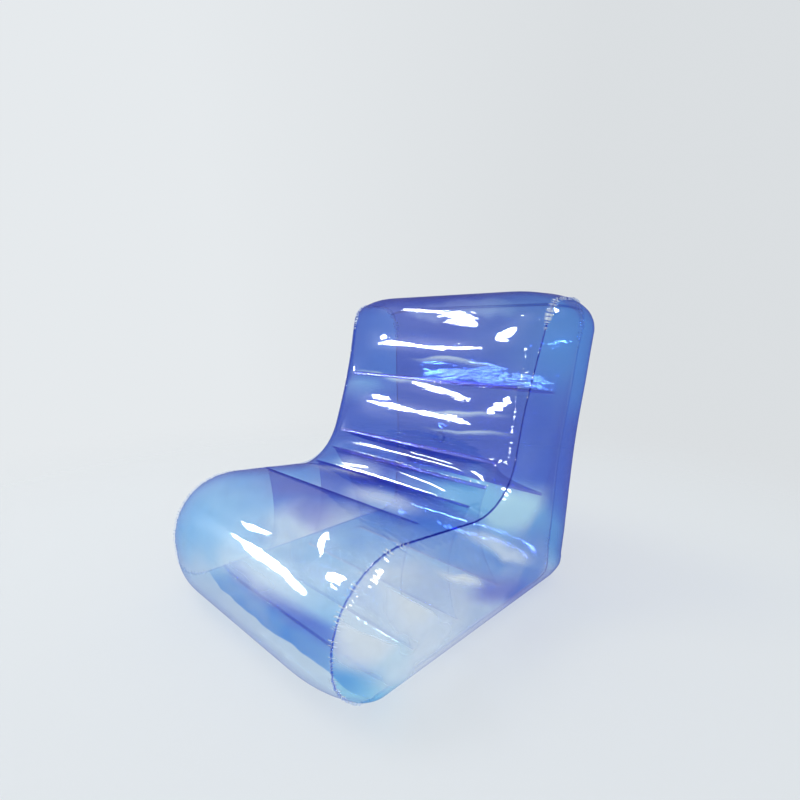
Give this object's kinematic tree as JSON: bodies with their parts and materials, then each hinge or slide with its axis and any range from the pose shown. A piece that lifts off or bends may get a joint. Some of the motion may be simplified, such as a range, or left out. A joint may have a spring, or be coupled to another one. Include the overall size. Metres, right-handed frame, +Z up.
{
  "type": "inflatable chair",
  "caption": "Low inflatable lounge chair of clear film: one air chamber shaped by inner tie sheets, with a rolled front edge, channelled seat and back, and a push-in air valve.",
  "frame": {"origin": "on the floor, at the middle of the footprint's bounding box", "axes": "+Z up, the sitter faces -Y and the backrest is on the +Y side, +X is the sitter's left. Right and left in node names are those of a viewer in front, so the right side panel is on the +X side"},
  "size_m": [0.673, 0.7596, 0.6502],
  "materials": {
    "clear_film": "clear blue PVC film, very glossy, faint wrinkles at the welds",
    "tie_film": "clear blue PVC film, glossy, slightly rippled by its tension",
    "soft_moulding": "translucent pale blue soft PVC moulding, satin"
  },
  "bodies": {
    "chamber": {"front_panel": "clear_film", "back_and_base_panel": "clear_film", "right_side_panel": "clear_film", "left_side_panel": "clear_film", "front_seat_tie_sheet": "tie_film", "rear_seat_tie_sheet": "tie_film", "crook_tie_sheet": "tie_film", "lower_back_tie_sheet": "tie_film", "upper_back_tie_sheet": "tie_film", "valve_flange": "soft_moulding"},
    "stem": {"valve_stem": "soft_moulding"},
    "plug": {"valve_plug": "soft_moulding"},
    "flap": {"valve_flap": "soft_moulding"}
  },
  "joints": [
    {"name": "valve_stem_slide", "type": "slide", "parent": "chamber", "child": "stem", "axis": [0, 1, 0], "range_m": [0, 0.012]},
    {"name": "valve_plug_swing", "type": "hinge", "parent": "stem", "child": "plug", "pos_m": [-0.10674, 0.37735, 0.26898], "axis": [-1, 0, 0], "range_deg": [0, 140]},
    {"name": "valve_flap_swing", "type": "hinge", "parent": "stem", "child": "flap", "pos_m": [-0.10674, 0.34925, 0.28918], "axis": [-1, 0, 0], "range_deg": [0, 50]}
  ]
}
